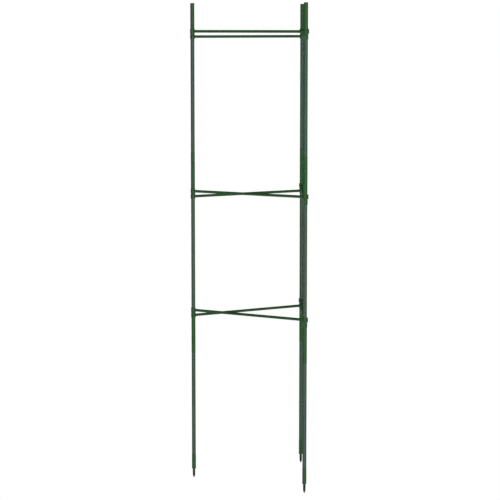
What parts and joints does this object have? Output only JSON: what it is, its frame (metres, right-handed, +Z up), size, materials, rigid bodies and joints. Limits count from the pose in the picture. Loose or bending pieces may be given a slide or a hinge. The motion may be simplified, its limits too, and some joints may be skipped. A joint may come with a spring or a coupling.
{
  "type": "tomato cage",
  "caption": "Three-sided garden cage of thin plug-together stakes with pointed feet, held together by clip-on arms that slide up and down and swing open.",
  "frame": {"origin": "middle of the cage's footprint, at the height of the spike points", "axes": "+Z up along the stakes; +Y from the front stake to the back stake; the left stake lies towards -X"},
  "size_m": [0.2807, 0.3202, 1.16],
  "materials": {
    "tube_coating": "grey-green plastic coating on thin steel tube, satin",
    "stake_plastic": "moulded green polypropylene, satin",
    "arm_plastic": "moulded green polypropylene, satin"
  },
  "bodies": {
    "stakes": {"left_foot_spike": "stake_plastic", "front_foot_spike": "stake_plastic", "back_foot_spike": "stake_plastic", "left_lower_tube": "tube_coating", "front_lower_tube": "tube_coating", "back_lower_tube": "tube_coating", "left_lower_socket": "stake_plastic", "front_lower_socket": "stake_plastic", "back_lower_socket": "stake_plastic", "left_middle_plug": "stake_plastic", "front_middle_plug": "stake_plastic", "back_middle_plug": "stake_plastic", "left_middle_tube": "tube_coating", "front_middle_tube": "tube_coating", "back_middle_tube": "tube_coating", "left_middle_socket": "stake_plastic", "front_middle_socket": "stake_plastic", "back_middle_socket": "stake_plastic", "left_upper_plug": "stake_plastic", "front_upper_plug": "stake_plastic", "back_upper_plug": "stake_plastic", "left_upper_tube": "tube_coating", "front_upper_tube": "tube_coating", "back_upper_tube": "tube_coating", "left_upper_socket": "stake_plastic", "front_upper_socket": "stake_plastic", "back_upper_socket": "stake_plastic"},
    "low_front_arm": {"low_front_arm": "arm_plastic"},
    "low_side_arm": {"low_side_arm": "arm_plastic"},
    "low_rear_arm": {"low_rear_arm": "arm_plastic"},
    "middle_front_arm": {"middle_front_arm": "arm_plastic"},
    "middle_side_arm": {"middle_side_arm": "arm_plastic"},
    "middle_rear_arm": {"middle_rear_arm": "arm_plastic"},
    "top_front_arm": {"top_front_arm": "arm_plastic"},
    "top_side_arm": {"top_side_arm": "arm_plastic"},
    "top_rear_arm": {"top_rear_arm": "arm_plastic"}
  },
  "joints": [
    {"name": "low_tier_slide", "type": "slide", "parent": "stakes", "child": "low_side_arm", "axis": [0, 0, 1], "range_m": [-0.3, 0.12]},
    {"name": "low_front_arm_swing", "type": "hinge", "parent": "low_side_arm", "child": "low_front_arm", "pos_m": [0.1338, -0.1545, 0], "axis": [0, 0, 1], "range_deg": [0, 110]},
    {"name": "low_rear_arm_swing", "type": "hinge", "parent": "low_side_arm", "child": "low_rear_arm", "pos_m": [0.1338, 0.1545, 0], "axis": [0, 0, 1], "range_deg": [-110, 0]},
    {"name": "middle_tier_slide", "type": "slide", "parent": "stakes", "child": "middle_side_arm", "axis": [0, 0, 1], "range_m": [-0.12, 0.17]},
    {"name": "middle_front_arm_swing", "type": "hinge", "parent": "middle_side_arm", "child": "middle_front_arm", "pos_m": [0.1338, -0.1545, 0], "axis": [0, 0, 1], "range_deg": [0, 110]},
    {"name": "middle_rear_arm_swing", "type": "hinge", "parent": "middle_side_arm", "child": "middle_rear_arm", "pos_m": [0.1338, 0.1545, 0], "axis": [0, 0, 1], "range_deg": [-110, 0]},
    {"name": "top_tier_slide", "type": "slide", "parent": "stakes", "child": "top_side_arm", "axis": [0, 0, 1], "range_m": [-0.17, 0.055]},
    {"name": "top_front_arm_swing", "type": "hinge", "parent": "top_side_arm", "child": "top_front_arm", "pos_m": [0.1338, -0.1545, 0], "axis": [0, 0, 1], "range_deg": [0, 110]},
    {"name": "top_rear_arm_swing", "type": "hinge", "parent": "top_side_arm", "child": "top_rear_arm", "pos_m": [0.1338, 0.1545, 0], "axis": [0, 0, 1], "range_deg": [-110, 0]}
  ]
}
